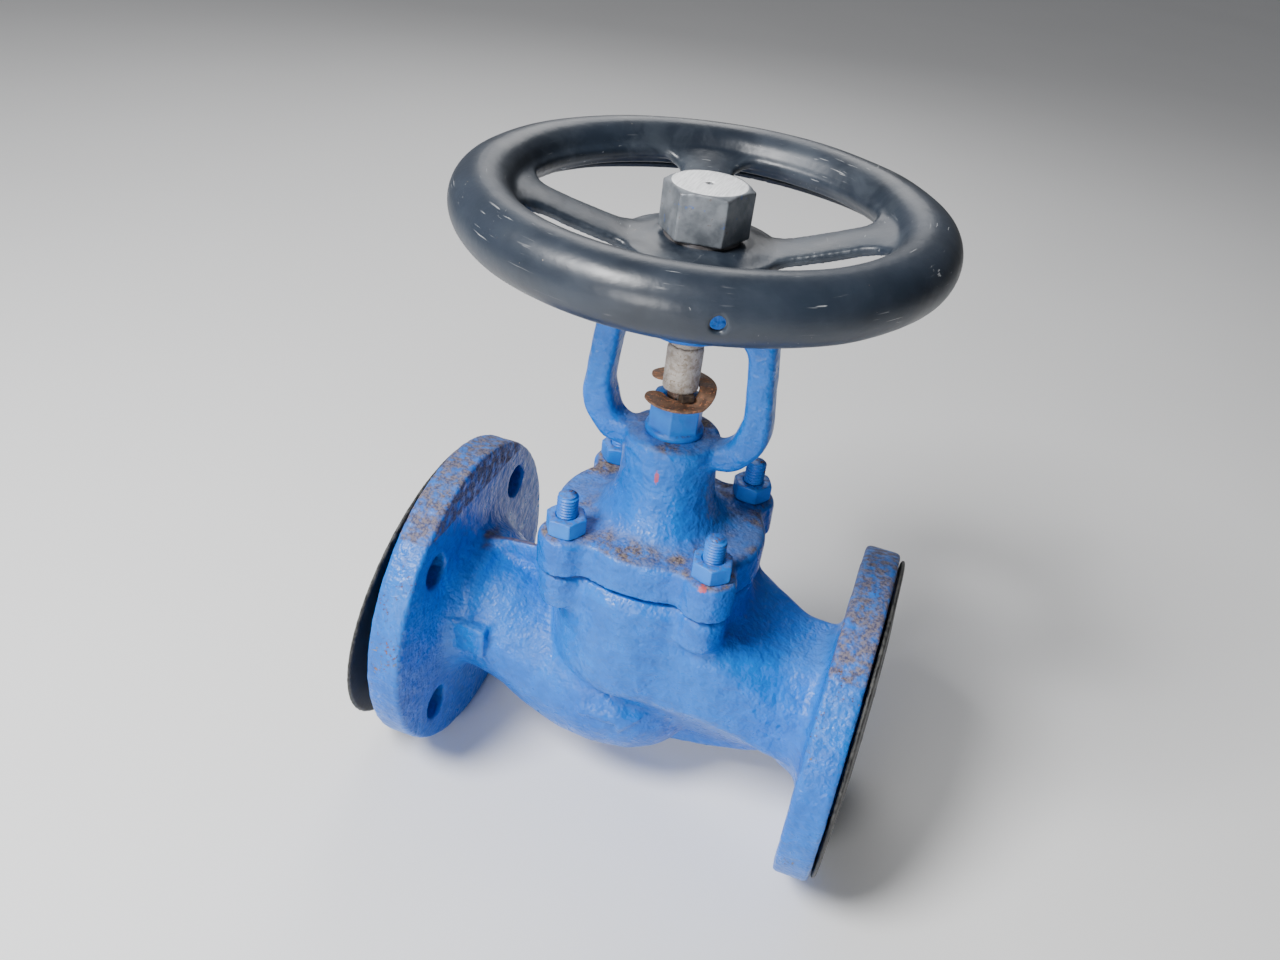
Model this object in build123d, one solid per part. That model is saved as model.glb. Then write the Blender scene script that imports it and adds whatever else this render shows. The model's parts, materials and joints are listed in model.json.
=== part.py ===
from build123d import *

import math
import os

# A DN 50 flanged globe valve with a bellows-sealed stem, a yoke, and a handwheel that stays at one
# height. Lengths are in millimetres. The parts are drawn about the crossing of the pipe axis (X) and the
# stem axis (Z), with flow towards +X. They are written out with the origin at the centre of the
# inlet flange's bolting face, which lies behind its raised face.

FACE_TO_FACE = 230.0
HALF_LENGTH = FACE_TO_FACE / 2

# Pipe flanges, DN 50 PN 40
PORT_RADIUS = 25.0
FLANGE_RADIUS = 82.5
RAISED_FACE_RADIUS = 51.0
RAISED_FACE_HEIGHT = 3.0
FLANGE_THICKNESS = 17.0
FLANGE_EDGE = 1.2
NECK_BLEND = 11.0
PITCH_CIRCLE = 125.0
INLET_HOLE_RADIUS = 9.0
OUTLET_HOLE_RADIUS = 9.2
FLANGE_FRONT = HALF_LENGTH - RAISED_FACE_HEIGHT
FLANGE_BACK = FLANGE_FRONT - FLANGE_THICKNESS
INLET_NECK_RADIUS = 37.0
OUTLET_NECK_RADIUS = 35.0

# Square joint between body and bonnet
STUD_OFFSET = 34.7
STUD_RADIUS = 5.0
STUD_HOLE_RADIUS = 5.6
LOBE_RADIUS = 12.5
FLANGE_HALF_LENGTH = 50.5
FLANGE_HALF_WIDTH = 45.0
FLANGE_NOTCH_ROUNDING = 7.0
FLANGE_TOP_ROUNDING = 3.5
BODY_PLAN_INSET = 1.3
BODY_FLANGE_LOW = 47.0
BODY_FLANGE_HIGH = 64.8
BONNET_FLANGE_LOW = 66.8
BONNET_FLANGE_HIGH = 85.3
SPIGOT_RADIUS = 39.5
GASKET_LOW = 58.4
GASKET_HIGH = 60.0
NUT_ACROSS_FLATS = 17.0
NUT_HEIGHT = 8.7
NUT_CORNER_ANGLES = (42.0, 55.0, 10.0, 0.0)
STUD_TOP = 105.0
STUD_BOTTOM = 49.0
THREAD_PITCH = 1.5
THREAD_DEPTH = 0.8

# Body inside and outside
BOWL_RADIUS = 47.0
ARROW_RELIEF = 2.0
CHAMBER_RADIUS = 35.5
SEAT_TOP = -4.0
SEAT_HEIGHT = 12.0
SEAT_RADIUS = 30.0

# Bonnet neck and yoke
NECK_TOP = 131.0
NECK_RADIUS = 22.0
FLARE_HEIGHT = 26.0
FLARE_RADIUS = 14.0
BELLOWS_CHAMBER_RADIUS = 19.0
BELLOWS_LOW = 20.0
BELLOWS_HIGH = 79.0
COLLAR_TOP = 84.0
YOKE_DEPTH = 14.5
YOKE_EDGE_ROUNDING = 3.5
BOSS_RADIUS = 22.0
BOSS_LOW = 182.0
BOSS_HIGH = 214.0
BOSS_LEDGE = 195.0
BUSH_FLANGE_RADIUS = 17.0
BUSH_FLANGE_LOW = 190.0
THRUST_WASHER_LOW = 193.5

# Stuffing box
STUFFING_RADIUS = 10.0
STUFFING_LOW = 97.0
GUIDE_TOP = 106.0
PACKING_HEIGHT = 3.2
PACKING_GAP = 0.1
PACKING_RINGS = 3
FOLLOWER_LOW = 116.0
FOLLOWER_TOP = 121.0

# Stem line
STEM_RADIUS = 6.0
STEM_THREAD_RADIUS = 7.0
SLEEVE_RADIUS = 8.0
SLEEVE_LOW = 153.0
SLEEVE_HIGH = 174.5
STEM_JOINT = 165.0
RUNNING_CLEARANCE = 0.05
AXIAL_PLAY = 0.05
FIT = 0.02
GLAND_ACROSS_FLATS = 22.0
GLAND_COLLAR_RADIUS = 13.3
GLAND_HEX_LOW = 133.5
GLAND_TOP = 148.0
GLAND_CORNER_ANGLE = 36.0
CLIP_LOW = GLAND_TOP + 0.1
CLIP_THICKNESS = 1.3
KEY_LOW = 149.9
KEY_ANGLE = -50.0

# Handwheel
WHEEL_RADIUS = 88.2
RIM_SECTION_RADIUS = 12.9
RIM_CENTRE = 231.2
SHEET = 3.0
SPOKE_ANGLE = 16.0
SPOKE_WIDTH = 23.0
SKIRT_DEPTH = 4.5
RIM_HOLE_HEIGHT = 230.3
RIM_HOLE_ANGLE = -70.8
RIM_HOLE_RADIUS = 2.7
HUB_LOW = BOSS_HIGH + 2.0 + AXIAL_PLAY
HUB_HIGH = 222.0
JOURNAL_RADIUS = 14.0
HUB_SQUARE = 22.0
BUSH_THREAD_RADIUS = 11.0
CAP_ACROSS_FLATS = 32.4
CAP_LOW = HUB_HIGH + 1.5
CAP_TOP = 243.5
CAP_CORNER_ANGLE = 9.5
CAP_FACE = 0.97
CAP_SLOPE = 0.35
BUSH_TOP = 234.0

# Flange covers
COVER_RADIUS = 80.0
COVER_THICKNESS = 2.0
COVER_PLUG_RADIUS = 22.5
COVER_PLUG_LENGTH = 13.0
COVER_PLUG_WALL = 2.5
INLET_COVER_TILT = 7.5
OUTLET_COVER_DISH = 2.0

UPRIGHT = (Align.CENTER, Align.CENTER, Align.MIN)


def post(radius, low, high):
    """An upright cylinder on the stem axis between two heights."""
    return Pos(0, 0, low) * Cylinder(radius, high - low, align=UPRIGHT)


def ring(outer, inner, low, high):
    """An upright tube on the stem axis."""
    return post(outer, low, high) - post(inner, low - 1, high + 1)


def turned(points):
    """A solid turned about the stem axis from (radius, height) points."""
    return revolve(Plane.XZ * make_face(Polyline(points, close=True)), Axis.Z)


def turned_about_pipe(points):
    """A solid turned about the pipe axis from (x, radius) points."""
    return revolve(Plane.XZ * make_face(Polyline(points, close=True)), Axis.X)


def hexagon(across_flats, low, high, angle=0.0):
    """A hexagonal prism on the stem axis, with a corner at the given angle."""
    outline = RegularPolygon(across_flats / 2, 6, major_radius=False)
    return extrude(Pos(0, 0, low) * Rot(0, 0, angle) * outline, high - low)


def hexagon_with_chamfer(across_flats, low, high, angle=0.0, face=0.95, slope=0.5, both=False):
    """A hexagon whose corners are turned off by a cone at the top, or at both ends.

    face is the radius left flat on top, as a share of half the across-flats size.
    """
    corner = across_flats / math.sqrt(3) + 0.01
    flat = face * across_flats / 2
    drop = (corner - flat) * slope
    low_radius = flat if both else corner
    low_drop = drop if both else 0.01
    cone = turned([
        (0, low), (low_radius, low), (corner, low + low_drop),
        (corner, high - drop), (flat, high), (0, high),
    ])
    return hexagon(across_flats, low, high, angle) & cone


def plate(points, thickness):
    """A plate in the XZ plane, centred on it."""
    return extrude(Plane.XZ * make_face(Polyline(points, close=True)), thickness / 2, both=True)


def section(x, centre, half_width, half_height):
    """An oval across the pipe at x."""
    plane = Plane(origin=(x, 0, centre), x_dir=(0, 1, 0), z_dir=(1, 0, 0))
    return plane * Ellipse(half_width, half_height)


def passage(rows):
    """A smooth duct through ovals given as (x, centre height, half width, half height)."""
    return loft([section(*row) for row in rows])


def stud_places():
    """The four corners of the stud square, as (x, y, angle from the stem axis)."""
    corners = [(1, -1), (1, 1), (-1, 1), (-1, -1)]
    return [
        (sx * STUD_OFFSET, sy * STUD_OFFSET, math.degrees(math.atan2(sy, sx))) for sx, sy in corners
    ]


def square_plan(inset=0.0):
    """The lobed outline of the body and bonnet flanges."""
    plan = Rot(0, 0, 90) * Ellipse(FLANGE_HALF_WIDTH - inset, FLANGE_HALF_LENGTH - inset)
    for x, y, angle in stud_places():
        plan += Pos(x, y) * Rot(0, 0, angle + 180) * Circle(LOBE_RADIUS - inset)
    return fillet(plan.vertices(), FLANGE_NOTCH_ROUNDING)


# ---------------------------------------------------------------- body

def pipe_flange(neck_radius):
    """The outlet flange with the root of its neck, turned about the pipe axis."""
    root = FLANGE_BACK - NECK_BLEND
    arc = []
    for angle in (0, 22.5, 45, 67.5, 90):
        along = root + NECK_BLEND * math.sin(math.radians(angle))
        radius = neck_radius + NECK_BLEND * (1 - math.cos(math.radians(angle)))
        arc.append((along, radius))
    points = [(root - 2, 0), (root - 2, neck_radius)] + arc + [
        (FLANGE_BACK, FLANGE_RADIUS - FLANGE_EDGE),
        (FLANGE_BACK + FLANGE_EDGE, FLANGE_RADIUS),
        (FLANGE_FRONT - FLANGE_EDGE, FLANGE_RADIUS),
        (FLANGE_FRONT, FLANGE_RADIUS - FLANGE_EDGE),
        (FLANGE_FRONT, RAISED_FACE_RADIUS),
        (HALF_LENGTH, RAISED_FACE_RADIUS - 0.5),
        (HALF_LENGTH, 0),
    ]
    return turned_about_pipe(points)


def flange_holes():
    """Bolt holes through both pipe flanges."""
    holes = []
    for angle in (45, 135, 225, 315):
        y = PITCH_CIRCLE / 2 * math.cos(math.radians(angle))
        z = PITCH_CIRCLE / 2 * math.sin(math.radians(angle))
        for x, radius in ((-FLANGE_FRONT - 2, INLET_HOLE_RADIUS), (FLANGE_BACK - 2, OUTLET_HOLE_RADIUS)):
            hole = Cylinder(radius, FLANGE_THICKNESS + 4, align=UPRIGHT)
            holes.append(Pos(x, y, z) * Rot(0, 90, 0) * hole)
    return holes


def inlet_shell(extra=0.0):
    """The outside of the inlet passage: a neck that sinks into the bulb under the seat."""
    rows = [
        (-96, 0, 37, 37),
        (-80, -3, 36, 36),
        (-60, -10.5, 37.5, 35),
        (-38, -18.5, 40.5, 36.5),
        (-14, -20.5, 42, 38.5),
        (8, -22.5, 38, 34),
        (24, -25.5, 27, 23.5),
        (32, -28, 12, 11),
    ]
    return passage([(x, centre, width + extra, height + extra) for x, centre, width, height in rows])


def outlet_shell():
    """The outside of the outlet passage: flat cheeks over a keel, ending in the round neck."""
    def cross(x, top, half_width, shoulder, bottom, corner):
        points = [
            (-half_width + corner, top),
            (-half_width, top - corner),
            (-half_width, shoulder),
            (-5, bottom),
            (5, bottom),
            (half_width, shoulder),
            (half_width, top - corner),
            (half_width - corner, top),
        ]
        plane = Plane(origin=(x, 0, 0), x_dir=(0, 1, 0), z_dir=(1, 0, 0))
        return plane * make_face(Polyline(points, close=True))

    rows = [
        (0, 48, 43, 4, -46, 8),
        (46, 47, 41, 4, -44, 9),
        (60, 41, 38, -2, -41, 11),
        (76, 35.5, 35, -10, -37, 14),
        (FLANGE_BACK + 1, 35.5, 34, -14, -34, 16),
    ]
    stretches = [
        loft([cross(*first), cross(*second)], ruled=True) for first, second in zip(rows, rows[1:])
    ]
    shell = stretches[0]
    for stretch in stretches[1:]:
        shell += stretch
    return shell


def bowl():
    """The round bowl over the seat, up to the body flange."""
    return turned([
        (0, 60), (BOWL_RADIUS, 60), (BOWL_RADIUS, 10), (45.5, 4.5), (42, 1), (36, -1), (0, -1),
    ])


def body_flange():
    """The lobed flange that carries the studs, with bosses under its corners."""
    plan = Pos(0, 0, BODY_FLANGE_LOW) * square_plan(BODY_PLAN_INSET)
    flange = extrude(plan, BODY_FLANGE_HIGH - BODY_FLANGE_LOW)
    for x, y, _ in stud_places():
        boss = Cylinder(LOBE_RADIUS - BODY_PLAN_INSET - 0.3, 5, align=UPRIGHT)
        flange += Pos(x, y, BODY_FLANGE_LOW - 3) * boss
    return flange


def webs():
    """The stiffening web over the inlet neck and the keel under the outlet passage."""
    inlet_web = plate([(-96, 10), (-96, 39), (-62, 43.5), (-40, 47), (-40, 10)], 5.0)
    keel = plate([(8, -20), (8, -59), (40, -54), (64, -46.5), (84, -38), (84, -20)], 9.0)
    return inlet_web + keel


def flow_arrow():
    """A plain raised arrow on the bulb that points along the flow."""
    outline = [
        (-17.5, -12.5), (-16.5, -17), (2.5, -18.2), (4.7, -23.3),
        (13.5, -15), (-0.5, -9.5), (0.5, -13.7),
    ]
    prism = extrude(Plane.XZ * make_face(Polyline(outline, close=True)), 60)
    return prism & inlet_shell(extra=ARROW_RELIEF)


def neck_pad():
    """The slanted pad on the near side of the inlet neck."""
    outline = [(-95, -30), (-95, -37), (-71, -41), (-71, -30)]
    return Pos(0, 0, -7) * extrude(make_face(Polyline(outline, close=True)), 18)


def make_body():
    """The cast body with its ports, passages, seat pocket and bonnet joint."""
    outlet_flange = pipe_flange(OUTLET_NECK_RADIUS)
    inlet_flange = mirror(pipe_flange(INLET_NECK_RADIUS), Plane.YZ)
    body = inlet_shell() + outlet_shell() + bowl() + body_flange() + webs() + flow_arrow()
    body = body + neck_pad() + inlet_flange + outlet_flange

    inlet_duct = passage([
        (-HALF_LENGTH - 1, 0, PORT_RADIUS, PORT_RADIUS),
        (-92, 0, PORT_RADIUS, PORT_RADIUS),
        (-66, -10, 28, 23),
        (-40, -27, 32, 19.5),
        (-15, -36, 34, 18),
        (12, -37, 28, 16),
        (21, -37, 20, 11),
    ])
    outlet_duct = passage([
        (20, 15, 27, 18),
        (42, 12, 28, 22),
        (66, 4, 26, 25),
        (92, 0, PORT_RADIUS, PORT_RADIUS),
        (HALF_LENGTH + 1, 0, PORT_RADIUS, PORT_RADIUS),
    ])
    chamber = post(CHAMBER_RADIUS, SEAT_TOP, BODY_FLANGE_HIGH + 1)
    seat_pocket = post(SEAT_RADIUS, SEAT_TOP - SEAT_HEIGHT, SEAT_TOP + 1)
    seat_bore = post(PORT_RADIUS, -36, SEAT_TOP)
    recess = post(SPIGOT_RADIUS + 0.3, GASKET_LOW, BODY_FLANGE_HIGH + 1)
    body = body - inlet_duct - outlet_duct - chamber - seat_pocket - seat_bore - recess
    for x, y, _ in stud_places():
        body = body - Pos(x, y, STUD_BOTTOM - 1) * Cylinder(STUD_RADIUS, 20, align=UPRIGHT)
    for hole in flange_holes():
        body = body - hole
    return body


# ---------------------------------------------------------------- bonnet

def neck_profile():
    """The outside of the bonnet: a flared neck over the flange, as (radius, height) points."""
    steps = 8
    points = []
    for step in range(steps + 1):
        turn = math.radians(90 * step / steps)
        radius = NECK_RADIUS + FLARE_RADIUS * (1 - math.sin(turn))
        height = BONNET_FLANGE_HIGH + FLARE_HEIGHT * (1 - math.cos(turn))
        points.append((radius, height))
    return points


def rounded_loop(right_side):
    """A closed outline from its right half, given as (x, z, corner radius), mirrored to the left."""
    corners = right_side + [(-x, z, radius) for x, z, radius in reversed(right_side)]
    points = [(x, z) for x, z, _ in corners]
    radii = [radius for _, _, radius in corners]
    return make_face(FilletPolyline(*points, radius=radii, close=True))


def yoke():
    """The two arms, their bend out of the neck and the bridge at the top, cut from one rounded frame."""
    outline = rounded_loop([
        (14, 108, 2), (21.5, 118.5, 4), (32, 119.2, 14), (44.5, 135.5, 22), (39.2, 186, 12), (30, 201, 5),
    ])
    opening = rounded_loop([(26, NECK_TOP - 0.4, 9), (31, 148, 12), (28, 178, 8), (19, 187, 5)])
    frame = extrude(Plane.XZ * (outline - opening), YOKE_DEPTH / 2, both=True)
    near_and_far = frame.faces().sort_by(Axis.Y)
    side_edges = near_and_far[0].edges() + near_and_far[-1].edges()
    return fillet(side_edges, YOKE_EDGE_ROUNDING)


def make_bonnet():
    """The cast bonnet: lobed flange, spigot, flared neck, yoke and yoke boss."""
    plan = Pos(0, 0, BONNET_FLANGE_LOW) * square_plan()
    flange = extrude(plan, BONNET_FLANGE_HIGH - BONNET_FLANGE_LOW)
    flange = fillet(flange.faces().sort_by(Axis.Z)[-1].edges(), FLANGE_TOP_ROUNDING)
    spigot = post(SPIGOT_RADIUS, GASKET_HIGH, BONNET_FLANGE_LOW + 1)
    foot = [(0, BONNET_FLANGE_LOW), (NECK_RADIUS + FLARE_RADIUS, BONNET_FLANGE_LOW)]
    neck = turned(foot + neck_profile() + [
        (NECK_RADIUS, NECK_TOP - 3), (NECK_RADIUS - 1, NECK_TOP - 1),
        (NECK_RADIUS - 3, NECK_TOP), (0, NECK_TOP),
    ])
    boss = turned([
        (0, BOSS_LOW), (BOSS_RADIUS - 2, BOSS_LOW), (BOSS_RADIUS, BOSS_LOW + 2),
        (BOSS_RADIUS, BOSS_HIGH - 2), (BOSS_RADIUS - 2, BOSS_HIGH), (0, BOSS_HIGH),
    ])
    bonnet = flange + spigot + neck + yoke() + boss
    stem_bore = STEM_RADIUS + 0.8
    bore = turned([
        (0, 50), (33, 50), (33, 62),
        (BELLOWS_CHAMBER_RADIUS, 76), (BELLOWS_CHAMBER_RADIUS, COLLAR_TOP),
        (stem_bore, COLLAR_TOP), (stem_bore, STUFFING_LOW), (STUFFING_RADIUS, STUFFING_LOW),
        (STUFFING_RADIUS, NECK_TOP + 8), (0, NECK_TOP + 8),
    ])
    counterbore = BUSH_FLANGE_RADIUS + 0.3
    journal_bore = JOURNAL_RADIUS + RUNNING_CLEARANCE
    boss_bore = turned([
        (0, BOSS_LOW - 10), (counterbore, BOSS_LOW - 10), (counterbore, BOSS_LEDGE),
        (journal_bore, BOSS_LEDGE), (journal_bore, BOSS_HIGH + 16), (0, BOSS_HIGH + 16),
    ])
    bonnet = bonnet - bore - boss_bore
    for x, y, _ in stud_places():
        drill = Cylinder(STUD_HOLE_RADIUS, 30, align=UPRIGHT)
        bonnet = bonnet - Pos(x, y, BONNET_FLANGE_LOW - 1) * drill
    return bonnet


def make_gasket():
    """The flat joint ring under the bonnet's spigot."""
    return ring(SPIGOT_RADIUS, CHAMBER_RADIUS + 0.5, GASKET_LOW, GASKET_HIGH)


def make_studs():
    """Four studs with a ring for every turn of the thread that shows above the nuts."""
    root = STUD_RADIUS - THREAD_DEPTH
    crest = STUD_RADIUS - 0.1
    height = BONNET_FLANGE_HIGH + NUT_HEIGHT
    points = [(0, STUD_BOTTOM), (crest, STUD_BOTTOM), (crest, height)]
    while height + THREAD_PITCH < STUD_TOP - 1:
        points += [(root, height + THREAD_PITCH / 2), (crest, height + THREAD_PITCH)]
        height += THREAD_PITCH
    points += [(root, STUD_TOP), (0, STUD_TOP)]
    stud = turned(points)
    return [Pos(x, y, 0) * stud for x, y, _ in stud_places()]


def make_stud_nuts():
    """Four hexagon nuts, each left at its own angle."""
    top = BONNET_FLANGE_HIGH + NUT_HEIGHT
    nut = hexagon_with_chamfer(NUT_ACROSS_FLATS, BONNET_FLANGE_HIGH, top, both=True)
    nut = nut - post(STUD_RADIUS, BONNET_FLANGE_HIGH - 1, top + 1)
    places = zip(stud_places(), NUT_CORNER_ANGLES)
    return [Pos(x, y, 0) * Rot(0, 0, angle) * nut for (x, y, _), angle in places]


# ---------------------------------------------------------------- stem seal

def make_guide_bush():
    """The stem guide at the bottom of the stuffing box."""
    return ring(STUFFING_RADIUS - FIT, STEM_RADIUS + RUNNING_CLEARANCE, STUFFING_LOW, GUIDE_TOP)


def make_packing():
    """The packing rings."""
    outer, inner = STUFFING_RADIUS - FIT, STEM_RADIUS + RUNNING_CLEARANCE
    lows = [GUIDE_TOP + i * (PACKING_HEIGHT + PACKING_GAP) for i in range(PACKING_RINGS)]
    return [ring(outer, inner, low, low + PACKING_HEIGHT) for low in lows]


def make_gland_follower():
    """The ring that presses on the packing."""
    return ring(STUFFING_RADIUS - 0.05, STEM_RADIUS + 0.2, FOLLOWER_LOW, FOLLOWER_TOP)


def make_gland_nut():
    """The hexagon gland nut with its collar and threaded shank."""
    nut = hexagon_with_chamfer(GLAND_ACROSS_FLATS, GLAND_HEX_LOW, GLAND_TOP, GLAND_CORNER_ANGLE)
    collar = turned([
        (0, NECK_TOP), (GLAND_COLLAR_RADIUS, NECK_TOP), (GLAND_COLLAR_RADIUS, GLAND_HEX_LOW - 0.5),
        (GLAND_COLLAR_RADIUS - 1, GLAND_HEX_LOW + 0.5), (0, GLAND_HEX_LOW + 0.5),
    ])
    shank = post(STUFFING_RADIUS - FIT, FOLLOWER_TOP, NECK_TOP + 1)
    return nut + collar + shank - post(STEM_RADIUS + 0.4, FOLLOWER_TOP - 5, GLAND_TOP + 1)


def make_bellows():
    """The corrugated metal bellows round the stem."""
    folds = 14
    outer, inner, wall = 16.0, 10.5, 0.7
    step = (BELLOWS_HIGH - BELLOWS_LOW) / folds
    skin = []
    for fold in range(folds):
        skin += [(inner, BELLOWS_LOW + fold * step), (outer, BELLOWS_LOW + (fold + 0.5) * step)]
    skin.append((inner, BELLOWS_HIGH))
    inside = [(radius - wall, height) for radius, height in reversed(skin)]
    return turned(skin + inside)


def make_bellows_lower_collar():
    """The collar that welds the bellows to the stem."""
    low = 16.3
    return turned([
        (STEM_RADIUS, low), (12, low), (16, low + 1.2), (16, BELLOWS_LOW), (STEM_RADIUS, BELLOWS_LOW),
    ])


def make_bellows_upper_collar():
    """The collar that welds the bellows to the bonnet."""
    return ring(BELLOWS_CHAMBER_RADIUS - 0.1, STEM_RADIUS + 0.6, BELLOWS_HIGH, COLLAR_TOP)


# ---------------------------------------------------------------- seat, disc and stem

def make_seat_ring():
    """The seat ring pressed into the partition."""
    return ring(SEAT_RADIUS - FIT, PORT_RADIUS, SEAT_TOP - SEAT_HEIGHT, SEAT_TOP)


def make_valve_disc():
    """The disc, with a socket for the button at the end of the stem."""
    low = SEAT_TOP + AXIAL_PLAY
    disc = turned([(0, low), (29, low), (29, 1), (27, 3), (14, 5), (14, 12), (0, 12)])
    return disc - post(8.2, 1.5, 7) - post(11, 6.4, 13)


def make_disc_nut():
    """The threaded ring that keeps the stem button in the disc."""
    head = hexagon(20.0, 12.05, 16)
    return post(10.95, 6.45, 12.1) + head - post(STEM_RADIUS + 0.1, 0, 20)


def make_lower_stem():
    """The plain stem from the disc to the sleeve."""
    top = STEM_JOINT - 0.2
    return turned([(0, 1.6), (8, 2.2), (8, 6.2), (STEM_RADIUS, 6.2), (STEM_RADIUS, top), (0, top)])


def make_upper_stem():
    """The threaded stem that the yoke bush drives."""
    radius, top, end = STEM_THREAD_RADIUS, 223.0, 1.5
    return turned([
        (0, STEM_JOINT), (radius, STEM_JOINT), (radius, top - end), (radius - end, top), (0, top),
    ])


def make_stem_sleeve():
    """The sleeve that couples the two stems, with a rounded top shoulder."""
    outside = turned([
        (0, SLEEVE_LOW), (SLEEVE_RADIUS, SLEEVE_LOW), (SLEEVE_RADIUS, SLEEVE_HIGH - 3),
        (SLEEVE_RADIUS - 0.3, SLEEVE_HIGH - 1.3), (SLEEVE_RADIUS - 0.9, SLEEVE_HIGH), (0, SLEEVE_HIGH),
    ])
    lower_bore = post(STEM_RADIUS, SLEEVE_LOW - 1, STEM_JOINT)
    return outside - lower_bore - post(STEM_THREAD_RADIUS, STEM_JOINT, SLEEVE_HIGH + 1)


def make_stem_key():
    """The small block under the sleeve that stops the stem from turning."""
    block = Pos(8.1, 0, KEY_LOW) * Box(4.0, 6.0, SLEEVE_LOW - KEY_LOW, align=UPRIGHT)
    return Rot(0, 0, KEY_ANGLE) * (block - post(STEM_RADIUS + FIT, KEY_LOW - 5, SLEEVE_LOW + 5))


def make_stem_clip():
    """The flat open ring that lies on the gland nut at the front and stands higher behind the stem."""
    inner, outer = 6.8, 16.2
    middle = (inner + outer) / 2
    rise = 4.7
    start, flat_turn, ramp_turn, raised_turn = 222.0, 108.0, 45.0, 138.0
    centre_low = CLIP_LOW + CLIP_THICKNESS / 2
    profile = Rectangle(outer - inner, CLIP_THICKNESS)
    flat = Rot(0, 0, start) * revolve(Plane.XZ * Pos(middle, centre_low) * profile, Axis.Z, flat_turn)
    path = Helix(pitch=rise * 360 / ramp_turn, height=rise, radius=middle)
    ramp = sweep(Plane.XZ * Pos(middle, 0) * profile, path=path, is_frenet=True)
    ramp = Pos(0, 0, centre_low) * Rot(0, 0, start + flat_turn) * ramp
    raised = revolve(Plane.XZ * Pos(middle, centre_low + rise) * profile, Axis.Z, raised_turn)
    raised = Rot(0, 0, start + flat_turn + ramp_turn - 0.5) * raised
    clip = flat + ramp + raised
    last = start + flat_turn + ramp_turn + raised_turn - 0.5
    for angle, height in ((start, centre_low), (last, centre_low + rise)):
        clip += Rot(0, 0, angle) * Pos(middle, 0, height) * Cylinder(middle - inner, CLIP_THICKNESS)
    return clip - post(SLEEVE_RADIUS + 0.4, CLIP_LOW + CLIP_THICKNESS + 0.2, SLEEVE_HIGH)


# ---------------------------------------------------------------- yoke bush, handwheel and cap nut

def make_yoke_bush():
    """The threaded bush that turns in the yoke boss and carries the handwheel."""
    square = Box(HUB_SQUARE, HUB_SQUARE, HUB_HIGH - HUB_LOW + 1, align=UPRIGHT)
    square = (Pos(0, 0, HUB_LOW - 1) * square) & post(JOURNAL_RADIUS, HUB_LOW - 1, HUB_HIGH)
    flange = post(BUSH_FLANGE_RADIUS, BUSH_FLANGE_LOW, THRUST_WASHER_LOW - AXIAL_PLAY)
    journal = post(JOURNAL_RADIUS, THRUST_WASHER_LOW - 1, HUB_LOW)
    bush = flange + journal + Rot(0, 0, SPOKE_ANGLE) * square
    bush = bush + post(BUSH_THREAD_RADIUS - FIT, HUB_HIGH - 1, BUSH_TOP)
    return bush - post(STEM_THREAD_RADIUS + RUNNING_CLEARANCE, BUSH_FLANGE_LOW - 5, BUSH_TOP + 5)


def make_thrust_washer():
    """The washer that takes the closing thrust of the bush."""
    return ring(BUSH_FLANGE_RADIUS - 0.1, JOURNAL_RADIUS + 0.08, THRUST_WASHER_LOW, BOSS_LEDGE)


def make_boss_washer():
    """The washer between the yoke boss and the hub."""
    return ring(20, JOURNAL_RADIUS + 0.08, BOSS_HIGH, BOSS_HIGH + 2)


def wheel_dish(thickness):
    """The dished sheet from the hub to the rim."""
    seat = HUB_HIGH - 0.5
    valley = [(25, 221.2), (30, 221.4), (40, 224)]
    top = [(15, seat), (20.5, seat)] + valley + [(55, 228.5), (66, 232.3), (76.3, 235.8)]
    return turned(top + [(radius, height - thickness) for radius, height in reversed(top)])


def wheel_windows(grow=0.0):
    """The outlines of the four gaps between the spokes, in the XY plane."""
    inner, outer = 33.0 - grow, 74.0 + grow
    band = Circle(outer) - Circle(inner)
    spoke = Rectangle(2.2 * outer, SPOKE_WIDTH - 2 * grow)
    spokes = spoke + Rot(0, 0, 90) * spoke
    gaps = band - spokes
    return Rot(0, 0, SPOKE_ANGLE) * fillet(gaps.vertices(), 9.0 + grow)


def wheel_rim():
    """The rim: a round channel, open underneath."""
    first, sweep_angle = -72.0, 272.0
    centre = (WHEEL_RADIUS, RIM_CENTRE)
    outer = Plane.XZ * CenterArc(centre, RIM_SECTION_RADIUS, first, sweep_angle)
    inner = Plane.XZ * CenterArc(centre, RIM_SECTION_RADIUS - SHEET, first, sweep_angle)
    outline = [outer, Line(outer @ 1, inner @ 1), inner, Line(outer @ 0, inner @ 0)]
    return revolve(make_face(outline), Axis.Z)


def make_handwheel():
    """The pressed-steel handwheel: rim, dished spokes with turned-down edges, and a square-holed hub."""
    fold = 2.4
    windows = extrude(Pos(0, 0, 190) * wheel_windows(), 60)
    folded = extrude(Pos(0, 0, 190) * wheel_windows(grow=fold), 60)
    sheet = wheel_dish(SHEET) - windows
    skirts = (wheel_dish(SKIRT_DEPTH) & folded) - windows
    hub = post(19.2, HUB_LOW, HUB_HIGH)
    wheel = sheet + hub + skirts + wheel_rim()
    square = Pos(0, 0, HUB_LOW - 20) * Box(HUB_SQUARE + 0.1, HUB_SQUARE + 0.1, 60, align=UPRIGHT)
    square_hole = Rot(0, 0, SPOKE_ANGLE) * (square & post(JOURNAL_RADIUS + 0.1, 190, 240))
    return wheel - square_hole - rim_hole()


def rim_hole():
    """The small hole through the outer wall of the rim."""
    drill = Pos(92, 0, RIM_HOLE_HEIGHT) * Rot(0, 90, 0) * Cylinder(RIM_HOLE_RADIUS, 20, align=UPRIGHT)
    return Rot(0, 0, RIM_HOLE_ANGLE) * drill


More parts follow.
